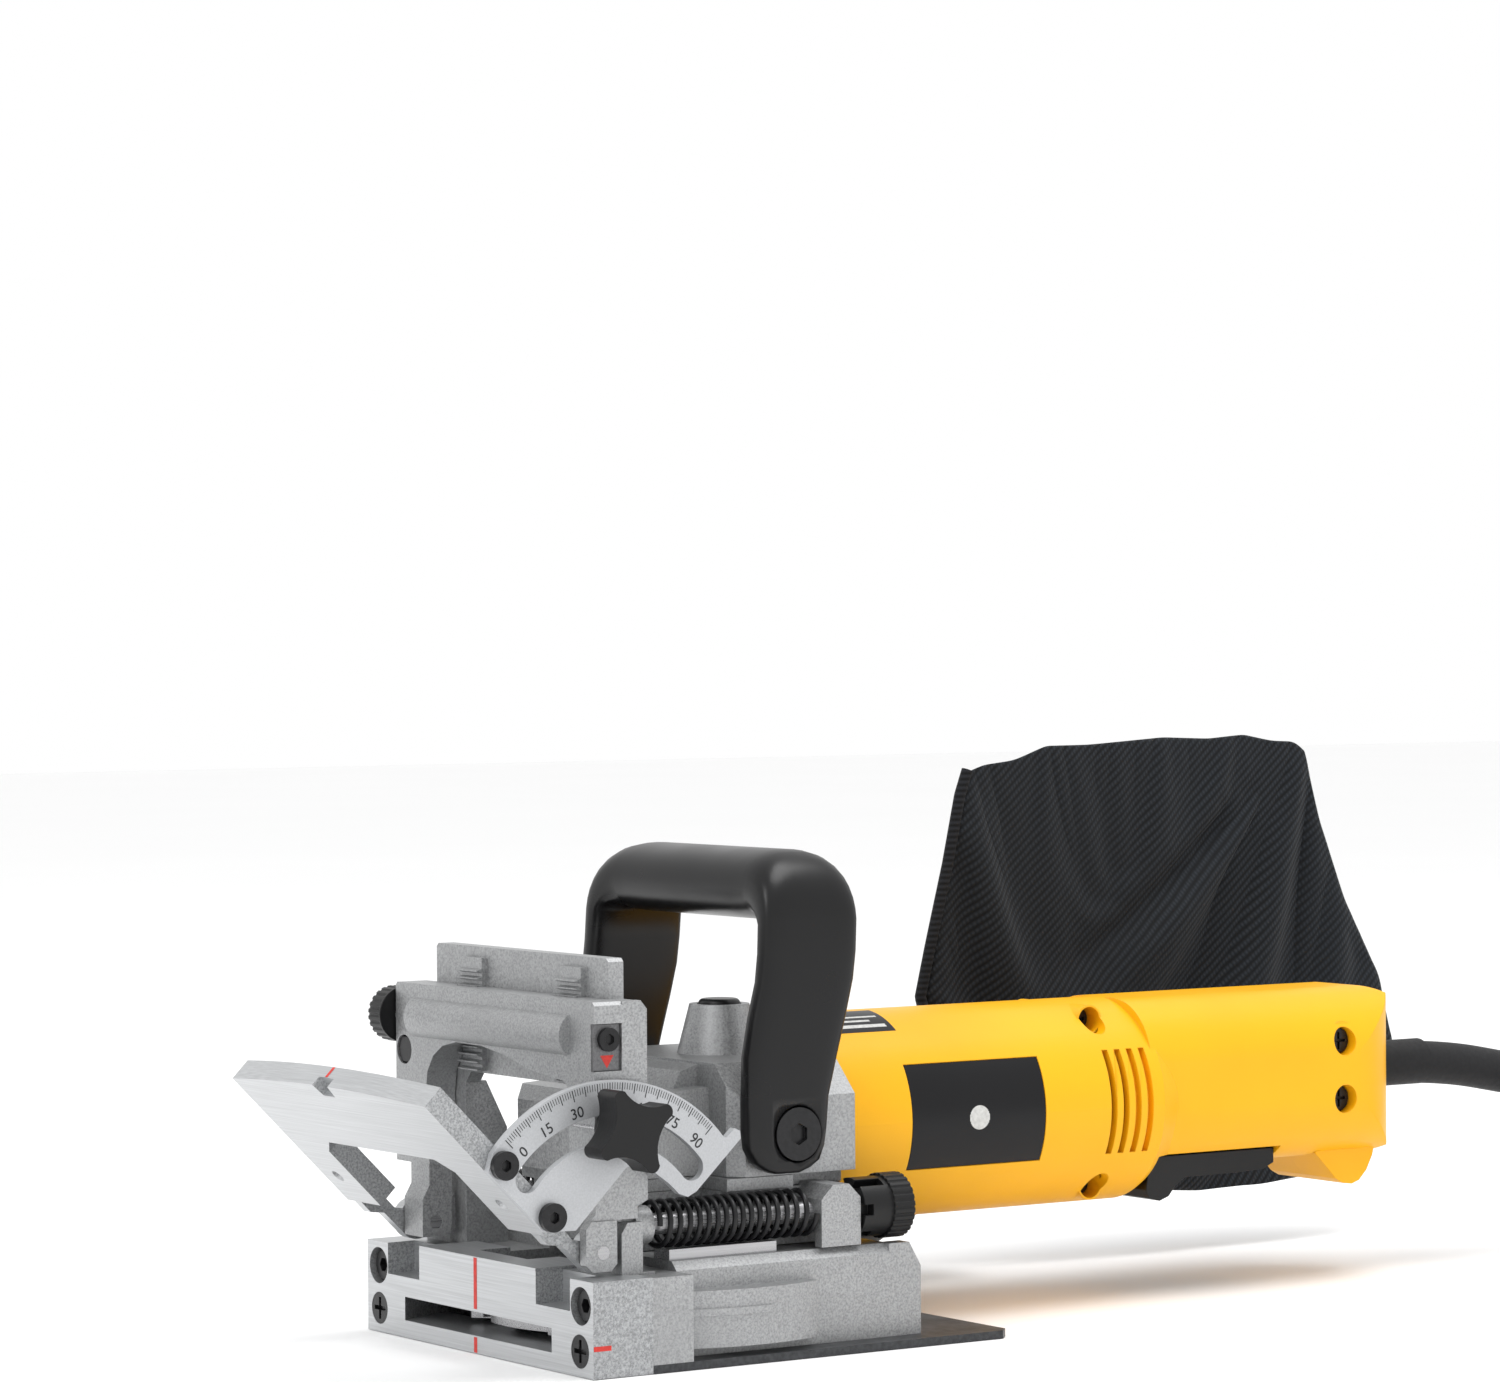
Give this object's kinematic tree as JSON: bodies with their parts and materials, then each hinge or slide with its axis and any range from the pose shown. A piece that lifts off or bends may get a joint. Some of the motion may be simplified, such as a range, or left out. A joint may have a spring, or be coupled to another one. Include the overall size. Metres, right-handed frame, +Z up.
{
  "type": "biscuit joiner",
  "caption": "Hand-held power tool whose sprung motor slide plunges a small disc cutter out of its front face; tilting fence, height rack, dust bag and cord.",
  "frame": {"origin": "point of the sole plane straight below the cutter spindle at rest", "axes": "+Z up from the sole, +Y back along the motor, +X toward the side with the angle quadrant; the front face looks along -Y"},
  "size_m": [0.2145, 0.5985, 0.164],
  "materials": {
    "machined_alloy": "machined, fine lay lines",
    "cast_alloy": "bead-blasted die casting",
    "scale_plate_alloy": "matt anodised",
    "sole_steel": "dark satin",
    "black_steel": "black oxide",
    "bright_steel": "ground",
    "plug_metal": "plated",
    "yellow_plastic": "satin moulded nylon",
    "black_plastic": "fine spark texture",
    "panel_plastic": "smooth film",
    "bag_fabric": "diagonal twill",
    "cord_rubber": "matt",
    "copper": "turned copper",
    "carbon": "carbon"
  },
  "bodies": {
    "base": {"sole_plate": "sole_steel", "sole_screws": "black_steel", "front_block": "machined_alloy", "front_screws": "black_steel", "blade_housing": "cast_alloy", "guide_rails": "bright_steel", "rack_frame": "cast_alloy", "guide_rods": "bright_steel", "spring_left": "black_steel", "spring_right": "black_steel", "dust_spout": "black_plastic", "bag_collar": "black_plastic", "dust_bag": "bag_fabric"},
    "anti_slip_pin_left": {"anti_slip_pin_left": "black_steel"},
    "anti_slip_pin_right": {"anti_slip_pin_right": "black_steel"},
    "carriage": {"fence_carriage": "cast_alloy", "height_lock_nut": "black_steel", "pointer_plate": "scale_plate_alloy", "pointer_screw": "black_steel", "hinge_pins": "bright_steel", "clamp_stud": "bright_steel"},
    "height_drive": {"height_shaft": "bright_steel", "height_knob": "black_plastic"},
    "tilt_lock": {"tilt_lock_knob": "black_plastic"},
    "fence": {"tilt_fence": "machined_alloy", "angle_quadrant": "scale_plate_alloy", "quadrant_screws": "black_steel"},
    "motor_slide": {"slide_foot": "cast_alloy", "gear_case_cover": "cast_alloy", "gear_case": "cast_alloy", "ball_bearings": "bright_steel", "housing_left": "yellow_plastic", "housing_right": "yellow_plastic", "housing_screws": "black_steel", "label_panel": "panel_plastic", "stator": "bright_steel", "brush_holders": "black_plastic", "carbon_brushes": "carbon", "switch_body": "black_plastic", "top_handle": "black_plastic", "handle_screws": "black_steel", "cord_clamp": "black_plastic", "cord_boot": "cord_rubber", "cord": "cord_rubber", "cord_coil": "cord_rubber", "cord_tie": "cord_rubber", "plug_body": "black_plastic", "plug_blades": "plug_metal"},
    "depth_turret": {"depth_turret": "black_plastic"},
    "trigger": {"trigger": "black_plastic"},
    "spindle_lock": {"spindle_lock_button": "black_plastic"},
    "cutter_spindle": {"spindle": "bright_steel", "cutter_flanges": "bright_steel", "cutter": "bright_steel", "bevel_gear": "bright_steel"},
    "armature": {"bevel_pinion": "bright_steel", "armature_shaft": "bright_steel", "armature_core": "bright_steel", "commutator": "copper", "cooling_fan": "black_plastic"}
  },
  "joints": [
    {"name": "plunge", "type": "slide", "parent": "base", "child": "motor_slide", "axis": [0, -1, 0], "range_m": [0, 0.026], "stiffness_N_per_m": 700, "springref_m": -0.008, "deforming": ["spring_left", "spring_right"]},
    {"name": "anti_slip_left", "type": "slide", "parent": "base", "child": "anti_slip_pin_left", "axis": [0, -1, 0], "range_m": [0, 0.0015]},
    {"name": "anti_slip_right", "type": "slide", "parent": "base", "child": "anti_slip_pin_right", "axis": [0, -1, 0], "range_m": [0, 0.0015]},
    {"name": "fence_height", "type": "slide", "parent": "base", "child": "carriage", "axis": [0, 0, 1], "range_m": [0, 0.018]},
    {"name": "height_knob_turn", "type": "hinge", "parent": "carriage", "child": "height_drive", "pos_m": [0, -0.046, 0.0926], "axis": [1, 0, 0], "range_deg": [-260, 5]},
    {"name": "tilt_lock_turn", "type": "hinge", "parent": "carriage", "child": "tilt_lock", "pos_m": [0.06, -0.047, 0.068], "axis": [1, 0, 0], "range_deg": [-90, 0]},
    {"name": "fence_tilt", "type": "hinge", "parent": "carriage", "child": "fence", "pos_m": [0, -0.047, 0.0332], "axis": [1, 0, 0], "range_deg": [-45, 45]},
    {"name": "depth_turret_turn", "type": "hinge", "parent": "motor_slide", "child": "depth_turret", "pos_m": [0.047, 0.048, 0.0392], "axis": [0, 1, 0], "range_deg": [0, 300]},
    {"name": "trigger_pull", "type": "hinge", "parent": "motor_slide", "child": "trigger", "pos_m": [0, 0.174, 0.0405], "axis": [1, 0, 0], "range_deg": [0, 4], "stiffness_Nm_per_rad": 0.6, "springref_deg": -8.59},
    {"name": "spindle_lock_press", "type": "slide", "parent": "motor_slide", "child": "spindle_lock", "axis": [0, 0, -1], "range_m": [0, 0.003], "stiffness_N_per_m": 500, "springref_m": -0.004},
    {"name": "spindle_spin", "type": "hinge", "parent": "motor_slide", "child": "cutter_spindle", "pos_m": [0, 0, 0.03], "axis": [0, 0, 1], "continuous": true},
    {"name": "armature_spin", "type": "hinge", "parent": "motor_slide", "child": "armature", "pos_m": [0, 0.094, 0.0605], "axis": [0, 1, 0], "continuous": true}
  ],
  "couplings": [
    {"joint": "height_knob_turn", "follows": "fence_height", "rad_per_m": -238.09},
    {"joint": "armature_spin", "follows": "spindle_spin", "ratio": 2.75}
  ]
}
